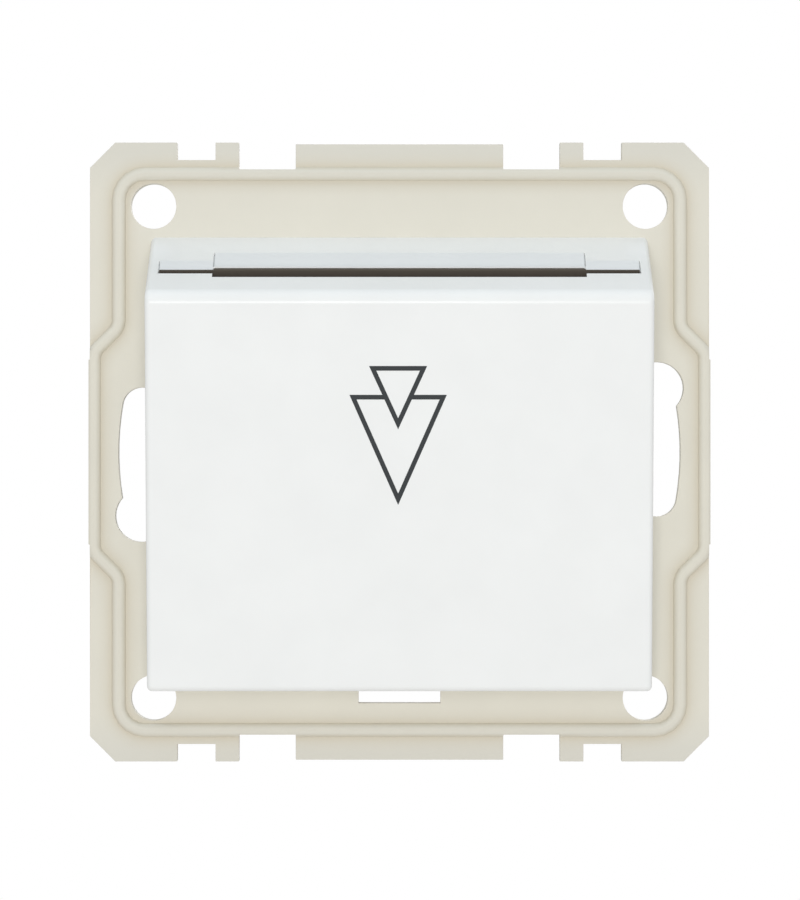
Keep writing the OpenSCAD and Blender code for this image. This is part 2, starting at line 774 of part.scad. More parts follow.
module card_lever() color("ivory") difference() {
    union() {
        along_x(-lever_half, lever_half) lever_outline();
        block([-hub_right, hub_right], [y_of(arm_front), y_of(arm_back)], [arm_top - seat, pin_z]);
        rod_x(pin_y, pin_z, part_gap - ear_x, hub_right, hub_r);
        block([-pad_half, pad_half], [y_of(arm_back + seat), y_of(pad_h)], [-pad_r, pad_r]);
        rod_x(y_of(pad_h), 0, -pad_half, pad_half, pad_r);
    }
    rod_x(pin_y, pin_z, -ear_x, ear_x, pin_r + running);
}

module lever_pin() color("silver") rod_x(pin_y, pin_z, -ear_x - ear_t, ear_x + ear_t, pin_r);

// Torsion spring: one leg lies behind the arm, the coil turns round the pin, the other leg meets the plate
twist_wire_r = 0.2;
twist_pitch = 0.85;
twist_turns = 2.75;
twist_leg = 6;
twist_r = pin_h - arm_back + twist_wire_r + running;
twist_x = hub_right + part_gap + 2 * twist_wire_r;
twist_end_x = twist_x + twist_pitch * twist_turns;
function twist_out(a) = [0, cos(a), sin(a)];
twist_steps = twist_turns * curl_rings;
twist_points = [
    for (k = [3 : -1 : 1]) [twist_x, pin_y + twist_r, pin_z - twist_leg * k / 3],
    for (i = [0 : twist_steps])
        [twist_x + twist_pitch * i / curl_rings, pin_y, pin_z] + twist_r * twist_out(360 * i / curl_rings),
    for (y = [pin_y + twist_r, face_y - seat]) [twist_end_x, y, pin_z - twist_r]
];
twist_outs = [
    for (k = [1 : 3]) twist_out(0),
    for (i = [0 : twist_steps]) twist_out(360 * i / curl_rings),
    for (k = [1 : 2]) twist_out(270)
];
module lever_spring() color("gray") tube(twist_points, twist_outs, twist_wire_r);

// Switch insert

module insert_cap() color("gainsboro") difference() {
    union() {
        along_y(cap_y, base_y) rounded_rect(insert_w, insert_h, insert_r);
        rod_y(0, 0, base_y - seat, base_y + sleeve_len, sleeve_r);
    }
    rod_y(0, 0, cap_y - through, bridge_y + through, stem_r + running);
    for (p = column_places) rod_y(p[0], p[1], cap_y - through, base_y + through, housing_screw_r + rest_gap);
    for (p = guide_screw_places) rod_y(p[0], p[1], cap_y - through, rest_gap, guide_head_r + rest_gap);
}

module insert_base() color("gainsboro") difference() {
    union() {
        difference() {
            along_y(base_y, back_y) rounded_rect(insert_w, insert_h, insert_r);
            along_y(base_y - through, floor_y)
                rounded_rect(insert_w - 2 * base_wall, insert_h - 2 * base_wall, insert_r - base_wall / 2);
        }
        for (p = column_places) rod_y(p[0], p[1], base_y, back_y, column_r);
        rod_y(0, 0, spring_seat_y, floor_y + seat, return_r + 4 * return_wire_r);
        rod_y(0, 0, spring_seat_y - 6 * return_wire_r, floor_y, return_r - return_wire_r - rest_gap);
        for (sx = [-1, 1]) {
            block(
                [sx * terminal_x - strip_half, sx * terminal_x + strip_half],
                [fixed_y + strip_t, floor_y + seat],
                [strip_bottom, -tip_r - part_gap]
            );
            rod_y(sx * terminal_x, wire_z, back_y - seat, back_y + collar_h, collar_r);
        }
        block(
            [-base_wall / 2, base_wall / 2],
            [back_y - seat, back_y + collar_h],
            [wire_z - 3 * wire_r, insert_h / 2 - insert_r]
        );
    }
    for (p = column_places) {
        rod_y(p[0], p[1], base_y - through, back_y, housing_screw_r + rest_gap);
        rod_y(p[0], p[1], housing_seat_y, back_y + through, housing_head_r + rest_gap);
    }
    for (sx = [-1, 1]) {
        rod_y(sx * terminal_x, wire_z, floor_y - through, back_y + collar_h + through, wire_r);
        rod_z(sx * terminal_x, cage_y, clamp_head_z, insert_h, clamp_head_r + rest_gap);
    }
}

module housing_screws() color("silver")
    for (p = column_places) cross_screw(
        p[0], p[1], housing_seat_y, housing_tip_y, housing_screw_r, housing_head_r, housing_head_h
    );

module plunger() color("tomato") {
    rod_y(0, 0, plunger_y, bridge_y, stem_r);
    rod_y(0, 0, bridge_y - seat, bridge_y + neck_len, neck_r);
}

return_wire_r = 0.25;
return_turns = 6;
return_r = neck_r + 3 * return_wire_r;
return_run = spring_len - 2 * (return_wire_r + seat);
function return_out(a) = [cos(a), 0, sin(a)];
return_outs = [for (i = [0 : return_turns * curl_rings]) return_out(360 * i / curl_rings)];
return_points = [
    for (i = [0 : return_turns * curl_rings])
    [0, spring_y + return_wire_r + seat + return_run * i / (return_turns * curl_rings), 0]
        + return_r * return_outs[i]
];
module return_spring() color("gray") tube(return_points, return_outs, return_wire_r);

echo(lever_spring_least_gap = least_gap(twist_points, twist_wire_r));
echo(return_spring_least_gap = least_gap(return_points, return_wire_r));

// Contacts

rivet_r = tip_r / 2;
rivet_tail_r = rivet_r * 1.5;
rivet_tail_h = 0.4;
tip_land_r = tip_r * 0.7;
tip_rim_h = tip_h * 0.7;
bridge_margin = 0.5;
bridge_reach = terminal_x + tip_r + bridge_margin;
ring_mouth_half = neck_r * 0.7;

module contact_bridge() color("goldenrod") difference() {
    along_y(bridge_y, ring_y) rounded_rect(2 * bridge_reach, 2 * bridge_half, tip_r);
    rod_y(0, 0, bridge_y - through, ring_y + through, neck_r + seat);
    for (sx = [-1, 1]) rod_y(sx * terminal_x, 0, bridge_y - through, ring_y + through, rivet_r);
}

// A contact rivet through a strip: its face stands off the strip, a small tail holds it
module contact_rivet(x, strip_y, facing) {
    translate([x, strip_y + (facing > 0 ? strip_t : 0), 0])
        rotate([facing > 0 ? -90 : 90, 0, 0])
        rotate_extrude()
        polygon([
            [0, -strip_t], [rivet_r, -strip_t], [rivet_r, 0], [tip_r, 0], [tip_r, tip_rim_h],
            [tip_land_r, tip_h], [0, tip_h]
        ]);
    tail_y = facing > 0 ? strip_y - rivet_tail_h : strip_y + strip_t;
    rod_y(x, 0, tail_y, tail_y + rivet_tail_h, rivet_tail_r);
}

module bridge_tips() color("silver") for (sx = [-1, 1]) contact_rivet(sx * terminal_x, bridge_y, 1);

module retaining_ring() color("dimgray") difference() {
    rod_y(0, 0, ring_y, spring_y, ring_r);
    rod_y(0, 0, ring_y - through, spring_y + through, neck_r + seat);
    block([-ring_mouth_half, ring_mouth_half], [ring_y - through, spring_y + through], [-ring_r - through, 0]);
}

module fixed_contact(side) color("goldenrod") {
    x = side * terminal_x;
    difference() {
        block([x - strip_half, x + strip_half], [fixed_y, fixed_y + strip_t], [strip_bottom, tab_top]);
        rod_y(x, 0, fixed_y - through, fixed_y + strip_t + through, rivet_r);
    }
    block([x - tab_half_w, x + tab_half_w], [fixed_y, cage_y + cage_d / 2 + cage_t], [tab_bottom, tab_top]);
}
module fixed_contact_left() fixed_contact(-1);
module fixed_contact_right() fixed_contact(1);
module fixed_tip_left() color("silver") contact_rivet(-terminal_x, fixed_y, -1);
module fixed_tip_right() color("silver") contact_rivet(terminal_x, fixed_y, -1);

// Terminals

module terminal_cage(side) color("goldenrod") {
    x = side * terminal_x;
    inner = tab_half_w + rest_gap;
    outer = inner + cage_t;
    y = [cage_y - cage_d / 2, cage_y + cage_d / 2];
    difference() {
        block([x - outer, x + outer], y, [cage_floor - cage_t, cage_gap + cage_top_t]);
        block([x - inner, x + inner], [y[0] - through, y[1] + through], [cage_floor, cage_gap]);
        rod_z(x, cage_y, cage_gap - through, cage_gap + cage_top_t + through, clamp_r + running);
    }
}
module terminal_cage_left() terminal_cage(-1);
module terminal_cage_right() terminal_cage(1);

module terminal_screw(side) color("silver") {
    x = side * terminal_x;
    top = clamp_head_z + clamp_head_h;
    slot_half_w = clamp_head_r * recess_half;
    difference() {
        union() {
            rod_z(x, cage_y, tab_top + running, clamp_head_z + seat, clamp_r);
            rod_z(x, cage_y, clamp_head_z, top, clamp_head_r);
        }
        block(
            [x - clamp_head_r - through, x + clamp_head_r + through],
            [cage_y - slot_half_w, cage_y + slot_half_w],
            [top - clamp_head_h / 2, top + through]
        );
    }
}
module terminal_screw_left() terminal_screw(-1);
module terminal_screw_right() terminal_screw(1);

support_plate();
front_cover();
card_guide();
guide_screws();
card_lever();
lever_pin();
lever_spring();
insert_cap();
insert_base();
housing_screws();
plunger();
return_spring();
contact_bridge();
bridge_tips();
retaining_ring();
fixed_contact_left();
fixed_contact_right();
fixed_tip_left();
fixed_tip_right();
terminal_cage_left();
terminal_cage_right();
terminal_screw_left();
terminal_screw_right();
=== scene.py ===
"""Looks of a wall-mounted key card switch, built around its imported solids. Metres, +Z up, the front faces -Y."""

import json
import math

import bmesh
import bpy
from bpy.props import FloatProperty, FloatVectorProperty, IntProperty, PointerProperty
from mathutils import Matrix, Vector


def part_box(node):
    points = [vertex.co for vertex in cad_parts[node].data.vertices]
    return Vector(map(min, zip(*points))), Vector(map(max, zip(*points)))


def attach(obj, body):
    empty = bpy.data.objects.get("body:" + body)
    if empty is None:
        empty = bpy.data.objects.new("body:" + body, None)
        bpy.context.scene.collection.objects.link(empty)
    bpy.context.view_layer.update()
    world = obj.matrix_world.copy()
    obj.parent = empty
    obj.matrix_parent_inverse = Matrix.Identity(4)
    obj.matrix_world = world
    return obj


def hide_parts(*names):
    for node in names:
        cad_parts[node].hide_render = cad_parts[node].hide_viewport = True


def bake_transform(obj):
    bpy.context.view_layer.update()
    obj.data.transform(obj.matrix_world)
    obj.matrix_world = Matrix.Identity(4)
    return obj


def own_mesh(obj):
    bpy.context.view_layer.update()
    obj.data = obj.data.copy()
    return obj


bl_info = {
    "name": "Key card switch",
    "version": (1, 0, 0),
    "blender": (4, 5, 0),
    "location": "View3D > Sidebar > Key card",
    "description": "Dresses the packed solids of a key card switch",
    "category": "Object",
}

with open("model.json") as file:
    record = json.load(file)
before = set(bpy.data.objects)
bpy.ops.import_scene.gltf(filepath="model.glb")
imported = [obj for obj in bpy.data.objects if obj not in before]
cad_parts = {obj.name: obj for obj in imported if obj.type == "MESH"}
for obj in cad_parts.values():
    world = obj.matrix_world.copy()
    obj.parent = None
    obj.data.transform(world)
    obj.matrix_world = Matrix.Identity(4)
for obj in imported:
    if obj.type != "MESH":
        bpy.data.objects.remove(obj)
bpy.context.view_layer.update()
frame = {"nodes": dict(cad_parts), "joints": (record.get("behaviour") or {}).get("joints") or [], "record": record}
MM = 0.001

BODY_OF = {
    node: body for body, nodes in frame["record"]["behaviour"]["bodies"].items() for node in nodes
}
SLOT_OF = {row["node"]: row["material_slot"] for row in frame["record"]["subparts"]}
JOINTS = {row["name"]: row for row in frame["joints"]}
HINGE = Vector(JOINTS["lever_swing"]["pos_m"])

# Where the pieces lie
PLATE_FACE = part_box("card_guide")[1].y
COVER_LOW, COVER_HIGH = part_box("front_cover")
COVER_MIDDLE = (COVER_LOW.z + COVER_HIGH.z) / 2
COVER_TOP_DROP, COVER_TOP_RUN = 6.9, 13.6  # fall of the cover's top, and the depth over which it falls
COVER_FRONT_LEAN = 0.114  # about how far the cover's front comes forward for its height
LEAD_IN_FOOT = 20 * MM
LEAD_IN_TILT = (53, 61)  # degrees from the front
TONGUE_END, TONGUE_FOOT, TONGUE_REACH = 26.95 * MM, 17 * MM, 0.2 * MM

# Meshing
MERGE = 0.002 * MM
FLAT = math.radians(0.5)
SQUARE = 0.01  # largest sideways part of a normal that looks straight ahead
SHARP, PLATE_SHARP, SMOOTH, WIRE_SMOOTH = 40, 50, 32, 60  # degrees
EDGE_STEPS, FLANK_STEPS, LEG_STEPS = 2, 6, 6
CORNER_REACH = 1.05  # in radii of the flanks
CLOSED_PITCH = 2.1  # in radii of the wire
GROOVE_TAPER = 0.1  # in widths of the groove

# Patterns of the finishes: sizes, the levels between which masks rise, tones and spreads of roughness
PLASTIC_IOR, INK_IOR = 1.49, 1.45
CLOUD, CLOUD_TONES = 7 * MM, (0.965, 1.03)
GRAIN_SPREAD, GRAIN_BUMP = 0.08, 0.35
SPECK, SPECK_STEP, SPECK_TONE = 0.5 * MM, (0.66, 0.72), 0.45
RIM_SCALE, RIM_CLOUD, RIM_STEP = 25, 0.06, (0.74, 0.86)
# Painted shade in creases: how far the occlusion looks, its samples, and the levels between which the shade sets in
CREASE_SHADE_REACH, CREASE_SHADE_SAMPLES, CREASE_SHADE_STEP = 1.8 * MM, 16, (0.015, 0.1)
STREAK, STREAK_SPREAD, STREAK_BUMP, STREAK_DEPTH = 0.25 * MM, 0.14, 0.25, 0.02 * MM
PATCH, PATCH_STEP, PATCH_DULLNESS = 2.2 * MM, (0.42, 0.68), 0.1
FILM, FILM_TONES, FILM_ROUGHNESS, FILM_SPREAD = 0.3 * MM, (0.85, 1.2), 0.42, 0.16

# Stage
SENSOR = 36  # millimetres
CLIP_NEAR, CLIP_FAR = 0.01, 20
LAMPS = (  # name, place, size, tint, whether reflections show it
    ("front", (-0.02, -0.85, 0.09), 0.16, (1, 1, 1), True),
    ("fill", (-0.01, -0.85, -0.13), 0.24, (1, 1, 1), False),
    ("top", (0, -0.18, 0.72), 0.6, (0.88, 1, 1.06), False),
    ("back", (0.3, 0.75, 0.36), 0.6, (1, 1, 1), True),
)
FLOOR_SIDES, FLOOR_ROUGHNESS = 96, 0.7
FLOOR_CLOUD, FLOOR_TONES = 20 * MM, (0.99, 1.01)
FLOOR_FADE = (0.4, 1.0)  # in radii of the floor


def linear(red, green, blue):
    """A display colour, 0 to 255, as the scene's linear light."""
    shares = [value / 255 for value in (red, green, blue)]
    return [s / 12.92 if s <= 0.04045 else ((s + 0.055) / 1.055) ** 2.4 for s in shares]


def length(name, description, millimetres):
    """A length setting, given in millimetres."""
    return FloatProperty(
        name=name, description=description, default=millimetres * MM, min=0.0, unit="LENGTH", precision=5
    )


def colour(name, description, red, green, blue):
    """A colour setting, given as a display colour."""
    return FloatVectorProperty(
        name=name, description=description, default=linear(red, green, blue), min=0.0, max=1.0, subtype="COLOR"
    )


def power(name, description, watts):
    """A lamp's power setting."""
    return FloatProperty(name=name, description=description, default=watts, min=0.0, unit="POWER")


def sky(name, description, light):
    """A setting for the light from one half of the sky."""
    return FloatVectorProperty(name=name, description=description, default=light, min=0.0, subtype="COLOR")


# Settings


class EdgeSizes(bpy.types.PropertyGroup):
    """Roundings of the moulded and the turned edges."""

    cover_side: length("Cover side radius", "Rounding along the sides of the front cover", 0.6)
    cover_break: length("Cover edge break", "Rounding of the cover's slot and rim edges", 0.05)
    groove_width: length("Groove width", "Width of the fine grooves at the ends of the cover's lead-in slopes", 0.14)
    groove_depth: length("Groove depth", "Depth of those grooves", 0.35)
    plate_break: length("Plate edge break", "Rounding of the support plate's edges", 0.14)
    inner_break: length("Inner edge break", "Rounding of the guide, lever and insert edges", 0.15)
    metal_break: length("Metal edge break", "Rounding of the screw heads and strips", 0.08)


class ArrowSizes(bpy.types.PropertyGroup):
    """The printed card arrow on the cover's front."""

    line: length("Line width", "Width of the printed line", 0.52)
    small_width: length("Small triangle width", "Width of the upper triangle", 6.5)
    small_top: length("Small triangle top", "Height of the upper triangle's top edge above the plate's centre", 9.62)
    small_height: length("Small triangle height", "Height of the upper triangle", 7.08)
    large_width: length("Large triangle width", "Width of the lower triangle", 10.9)
    large_top: length("Large triangle top", "Height of the lower triangle's top edge above the plate's centre", 6.4)
    large_height: length("Large triangle height", "Height of the lower triangle", 12.34)
    aside: length("Offset", "Distance of the print to the left of the cover's middle", 0.15)
    film: length("Ink film", "Thickness of the print", 0.02)


class SpringSizes(bpy.types.PropertyGroup):
    """The two wound springs."""

    wire_sides: IntProperty(name="Wire sides", description="Sides of the round wire", default=10, min=6, max=24)
    turn_steps: IntProperty(name="Steps per turn", description="Rings in one turn", default=28, min=8, max=64)
    return_wire: length("Return wire radius", "Radius of the return spring's wire", 0.25)
    return_turns: FloatProperty(name="Return turns", description="Open turns of the return spring", default=4.5, min=1)
    lever_wire: length("Lever wire radius", "Radius of the lever spring's wire", 0.2)
    lever_turns: FloatProperty(name="Lever turns", description="Turns of the lever spring", default=2.75, min=1)
    lever_leg: length("Lever leg", "Length of the leg behind the lever's arm", 6.0)


class Finishes(bpy.types.PropertyGroup):
    """Colours of the materials."""

    plate: colour("Plate", "Satin moulded plastic of the support plate", 224, 220, 207)
    # Painted shade tinted into the plate's inner corners, such as the feet of the bead
    plate_crease_shade: colour("Plate creases", "Tone in the plate's inner corners", 212, 205, 188)
    plate_rim_tone: colour("Plate rim", "Duller tone along the plate's rim", 217, 214, 203)
    cover: colour("Cover", "Polished white plastic of the front cover", 241, 242, 241)
    # Lead-in slopes: the satin roughness is their own, the colour greyer than the cover is painted shade
    lead_in: colour("Lead-in", "Satin slopes at the card slot", 232, 234, 235)
    guide: colour("Guide", "Dark plastic of the card guide", 71, 64, 55)
    lever: colour("Lever", "Natural nylon of the card lever", 233, 229, 214)
    insert: colour("Insert", "Grey moulded plastic of the switch insert", 196, 198, 196)
    plunger: colour("Plunger", "Red-brown nylon of the plunger", 176, 72, 50)
    steel: colour("Steel", "Zinc-plated screws and pin", 205, 206, 204)
    wire: colour("Spring wire", "Drawn spring steel", 168, 168, 170)
    brass: colour("Brass", "Rolled brass strip", 214, 176, 102)
    silver: colour("Silver", "Contact faces", 222, 221, 216)
    ink: colour("Ink", "Printed arrow", 42, 46, 48)
    floor: colour("Floor", "Pale studio floor", 236, 236, 235)


class Studio(bpy.types.PropertyGroup):
    """Camera, light and floor."""

    distance: length("Camera distance", "From the camera to the plate's back", 502.0)
    camera_height: length("Camera height", "Height of the camera above the plate's centre", 0.23)
    camera_aside: length("Camera offset", "Distance of the camera to the right of the plate's centre", 0.06)
    lens: FloatProperty(name="Lens", description="Focal length on a 36 mm sensor", default=174.35, unit="CAMERA")
    sky_up: sky("Sky above", "Cool light from above", (0.48, 0.5, 0.52))
    sky_down: sky("Sky below", "Warm light from below", (0.55, 0.535, 0.51))
    front_power: power("Front light", "Power of the small front light above the camera", 0.64)
    fill_power: power("Fill light", "Power of the front light below the camera, which reflections don't show", 2.42)
    top_power: power("Top light", "Power of the cool light from above, which reflections don't show", 1.41)
    back_power: power("Back light", "Power of the light behind the part", 2.4)
    floor_drop: length("Floor drop", "Distance of the floor below the plate's centre", 550.0)
    floor_radius: length("Floor radius", "Radius of the round floor", 400.0)


class CardSwitch(bpy.types.PropertyGroup):
    """All settings of the key card switch."""

    edges: PointerProperty(type=EdgeSizes)
    arrow: PointerProperty(type=ArrowSizes)
    springs: PointerProperty(type=SpringSizes)
    finishes: PointerProperty(type=Finishes)
    studio: PointerProperty(type=Studio)


# Materials


class Signal:
    """A shader output that takes part in Python expressions."""

    def __init__(self, bench, socket):
        self.bench = bench
        self.socket = socket

    def maths(self, operation, first, second):
        """A Math node on two values."""
        return self.bench.node("ShaderNodeMath", {"operation": operation}, {0: first, 1: second})

    def size(self):
        """The value without its sign."""
        return self.maths("ABSOLUTE", self, 0)

    def __add__(self, other):
        return self.maths("ADD", self, other)

    def __sub__(self, other):
        return self.maths("SUBTRACT", self, other)

    def __rsub__(self, other):
        return self.maths("SUBTRACT", other, self)

    def __mul__(self, other):
        return self.maths("MULTIPLY", self, other)

    __radd__ = __add__
    __rmul__ = __mul__


class Bench:
    """Lays out the nodes of one material or of the world."""

    def __init__(self, tree):
        self.tree = tree

    def node(self, kind, settings=None, sockets=None, output=0):
        """One node: its settings are set first, then its sockets take values or links."""
        made = self.tree.nodes.new(kind)
        for name, value in (settings or {}).items():
            if name == "stops":
                for stop, (place, level) in zip(made.color_ramp.elements, value):
                    stop.position, stop.color = place, (level, level, level, 1)
            else:
                setattr(made, name, value)
        self.feed(made, sockets or {})
        return Signal(self, made.outputs[output])

    def feed(self, made, sockets):
        """Give sockets their values or links."""
        for name, value in sockets.items():
            if isinstance(value, Signal):
                self.tree.links.new(value.socket, made.inputs[name])
            else:
                made.inputs[name].default_value = value

    def place(self, stretch=(1, 1, 1)):
        """The piece's own coordinates, stretched along its axes."""
        return self.node(
            "ShaderNodeMapping",
            {"vector_type": "POINT"},
            {"Vector": self.node("ShaderNodeTexCoord", output="Object"), "Scale": stretch},
        )

    def along(self, place, axis):
        """One axis of a place."""
        return self.node("ShaderNodeSeparateXYZ", {}, {0: place}, output=axis)

    def noise(self, place, size, detail=2.0):
        """Soft noise whose features are about one size across."""
        return self.node("ShaderNodeTexNoise", {}, {"Vector": place, "Scale": 1 / size, "Detail": detail})

    def stepped(self, value, step):
        """A value that rises from 0 to 1 between the two levels of a step."""
        low, high = step
        return self.node("ShaderNodeValToRGB", {"stops": [(low, 0), (high, 1)]}, {0: value})

    def tint(self, mask, first, second):
        """A colour that runs from the first to the second with a mask."""
        return self.node("ShaderNodeMix", {"data_type": "RGBA"}, {0: mask, 6: first, 7: second}, output=2)

    def toned(self, mask, rgb, tones):
        """A colour that runs between two levels of itself with a mask."""
        return self.tint(mask, *(opaque(rgb, level) for level in tones))


def opaque(rgb, level=1.0):
    """A colour with its alpha, lighter or darker by a level."""
    return (*(min(1.0, value * level) for value in rgb), 1.0)


def new_finish(name, fixed):
    """An empty material with its shader's constants set, and the bench for its nodes."""
    finish = bpy.data.materials.new(name)
    finish.use_nodes = True
    shader = finish.node_tree.nodes["Principled BSDF"]
    bench = Bench(finish.node_tree)
    bench.feed(shader, fixed)
    return finish, bench, shader


def moulded(name, rgb, roughness, grain, depth, gloss=0.3, crease_shade=None, rim_tone=None, speckle=0.0):
    """Moulded plastic: cloudy colour, a fine grain and, where given, dark specks, a darker tone towards the top and
    bottom rim, and painted shade in the creases.
    """
    finish, bench, shader = new_finish(name, {"IOR": PLASTIC_IOR, "Specular IOR Level": gloss})
    place = bench.place()
    clouds = bench.noise(place, CLOUD, 3.0)
    fine = bench.noise(place, grain)
    tone = bench.toned(clouds, rgb, CLOUD_TONES)
    if speckle:
        specks = bench.stepped(bench.noise(place, SPECK, 1.0), SPECK_STEP)
        tone = bench.tint(specks * speckle, tone, opaque(rgb, SPECK_TONE))
    # A darker tone towards the top and bottom rim, set by height alone
    if rim_tone:
        reach = bench.along(place, "Z").size()
        rim = bench.stepped(reach * RIM_SCALE + clouds * RIM_CLOUD - RIM_CLOUD / 2, RIM_STEP)
        tone = bench.tint(rim, tone, opaque(rim_tone))
    # Painted shade: corners that the part's own occlusion finds take the darker crease colour
    if crease_shade:
        shelter = bench.node(
            "ShaderNodeAmbientOcclusion", {"samples": CREASE_SHADE_SAMPLES, "only_local": True},
            {"Distance": CREASE_SHADE_REACH}, output="AO",
        )
        tone = bench.tint(bench.stepped(1 - shelter, CREASE_SHADE_STEP), tone, opaque(crease_shade))
    bench.feed(shader, {
        "Base Color": tone,
        "Roughness": roughness - GRAIN_SPREAD / 2 + fine * GRAIN_SPREAD,
        "Normal": bench.node("ShaderNodeBump", {}, {"Strength": GRAIN_BUMP, "Distance": depth, "Height": fine}),
    })
    return finish


def metal(name, rgb, roughness, stretch=(1, 1, 1), tarnish=0.8):
    """Bare metal: fine drawn streaks, and patches that are duller and a little darker."""
    finish, bench, shader = new_finish(name, {"Metallic": 1.0})
    streaks = bench.noise(bench.place(stretch), STREAK, 4.0)
    patches = bench.stepped(bench.noise(bench.place(), PATCH, 3.0), PATCH_STEP)
    bench.feed(shader, {
        "Base Color": bench.toned(patches, rgb, (1.0, tarnish)),
        "Roughness": roughness - STREAK_SPREAD / 2 + streaks * STREAK_SPREAD + patches * PATCH_DULLNESS,
        "Normal": bench.node(
            "ShaderNodeBump", {}, {"Strength": STREAK_BUMP, "Distance": STREAK_DEPTH, "Height": streaks}
        ),
    })
    return finish


def print_ink(name, rgb):
    """Pad-printed ink: matt, and a little thin in places."""
    finish, bench, shader = new_finish(name, {"IOR": INK_IOR})
    film = bench.noise(bench.place(), FILM, 3.0)
    bench.feed(shader, {
        "Base Color": bench.toned(film, rgb, FILM_TONES),
        "Roughness": FILM_ROUGHNESS + film * FILM_SPREAD,
    })
    return finish


FINISH_MAKERS = {
    # The plate's finish has painted shade in its creases
    "plate_plastic": lambda tone: moulded(
        "plate satin", tone.plate, roughness=0.46, grain=0.16 * MM, depth=0.01 * MM, crease_shade=tone.plate_crease_shade,
        rim_tone=tone.plate_rim_tone,
    ),
    "cover_plastic": lambda tone: moulded(
        "cover gloss", tone.cover, roughness=0.24, grain=0.5 * MM, depth=0.002 * MM, gloss=0.5
    ),
    # The lead-in's greyer colour is painted shade on a real satin finish
    "lead_in": lambda tone: moulded("cover satin", tone.lead_in, roughness=0.42, grain=0.12 * MM, depth=0.004 * MM),
    "guide_plastic": lambda tone: moulded("guide brown", tone.guide, roughness=0.5, grain=0.14 * MM, depth=0.015 * MM),
    "lever_plastic": lambda tone: moulded("lever nylon", tone.lever, roughness=0.42, grain=0.25 * MM, depth=0.01 * MM),
    "insert_plastic": lambda tone: moulded(
        "insert grey", tone.insert, roughness=0.5, grain=0.18 * MM, depth=0.015 * MM, speckle=0.12
    ),
    "plunger_plastic": lambda tone: moulded(
        "plunger red-brown", tone.plunger, roughness=0.4, grain=0.2 * MM, depth=0.01 * MM
    ),
    "steel": lambda tone: metal("zinc-plated steel", tone.steel, roughness=0.34, stretch=(1, 0.3, 1)),
    "spring_steel": lambda tone: metal("drawn spring wire", tone.wire, roughness=0.28, tarnish=0.75),
    "brass": lambda tone: metal("rolled brass", tone.brass, roughness=0.3, stretch=(0.12, 1, 1), tarnish=0.72),
    "silver": lambda tone: metal("contact silver", tone.silver, roughness=0.36, tarnish=0.7),
    "ink": lambda tone: print_ink("arrow ink", tone.ink),
}
FINISHED = {}


def finish_of(slot):
    """The material of a slot, made when it is first asked for."""
    if slot not in FINISHED:
        FINISHED[slot] = FINISH_MAKERS[slot](bpy.context.scene.card_switch.finishes)
    return FINISHED[slot]


# Shaping helpers


def merged_copy(node):
    """A CAD node's solid with its loose triangles merged into whole faces."""
    bm = bmesh.new()
    bm.from_mesh(frame["nodes"][node].data)
    bmesh.ops.remove_doubles(bm, verts=bm.verts, dist=MERGE)
    bmesh.ops.dissolve_limit(bm, angle_limit=FLAT, verts=bm.verts, edges=bm.edges)
    return bm


def sharp_edges(bm, degrees=SHARP):
    """The edges at which the surface turns by more than an angle."""
    limit = math.radians(degrees)
    return [edge for edge in bm.edges if edge.is_manifold and edge.calc_face_angle() > limit]


def round_edges(bm, edges, radius):
    """Round edges off."""
    bmesh.ops.bevel(
        bm, geom=edges, offset=radius, offset_type="OFFSET", affect="EDGES", segments=EDGE_STEPS, profile=0.5,
        material=-1, clamp_overlap=True,
    )


def round_rim(bm, face, radius, steps):
    """Round the rim of a flat face: it is set back, and grows out again in a quarter round."""
    bmesh.ops.translate(bm, verts=face.verts, vec=face.normal * -radius)
    angles = [math.pi / 2 * step / steps for step in range(steps + 1)]
    for low, high in zip(angles, angles[1:]):
        bmesh.ops.inset_region(
            bm, faces=[face], thickness=radius * (math.cos(low) - math.cos(high)),
            depth=radius * (math.sin(high) - math.sin(low)), use_even_offset=True,
        )


def smooth_faces(bm, degrees=SMOOTH):
    """Shade the faces smooth, apart from edges that stay sharp."""
    for face in bm.faces:
        face.smooth = True
    limit = math.radians(degrees)
    for edge in bm.edges:
        edge.smooth = not (edge.is_manifold and edge.calc_face_angle() > limit)


def new_piece(name, bm, slot):
    """An object at the origin from a finished bmesh, with the slot's material."""
    mesh = bpy.data.meshes.new(name)
    bm.to_mesh(mesh)
    bm.free()
    stored = mesh.attributes.get("custom_normal")
    if stored:
        mesh.attributes.remove(stored)
    mesh.materials.clear()
    mesh.materials.append(finish_of(slot))
    piece = bpy.data.objects.new(name, mesh)
    bpy.context.collection.objects.link(piece)
    return piece


def level_faces(piece):
    """Let the large flat faces lead the shading of the roundings beside them."""
    normals = piece.modifiers.new("level faces", "WEIGHTED_NORMAL")
    normals.mode, normals.weight, normals.keep_sharp = "FACE_AREA", 100, True


def soften(name, node, radius, degrees=SHARP, shape=None):
    """Put a copy of a CAD node in its place, shaped if asked and with its edges rounded off."""
    bm = merged_copy(node)
    if shape:
        shape(bm)
    round_edges(bm, sharp_edges(bm, degrees), radius)
    smooth_faces(bm)
    piece = new_piece(name, bm, SLOT_OF[node])
    level_faces(piece)
    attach(piece, BODY_OF[node])
    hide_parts(node)


def repaint(node):
    """Give a CAD node that stays as it is its slot's material."""
    for slot in frame["nodes"][node].material_slots:
        slot.material = finish_of(SLOT_OF[node])


# Pieces


class CARD_OT_plate(bpy.types.Operator):
    """Dress the support plate"""

    bl_idname = "card_switch.plate"
    bl_label = "Support plate"

    def execute(self, context):
        soften("plate", "support_plate", context.scene.card_switch.edges.plate_break, degrees=PLATE_SHARP)
        return {"FINISHED"}


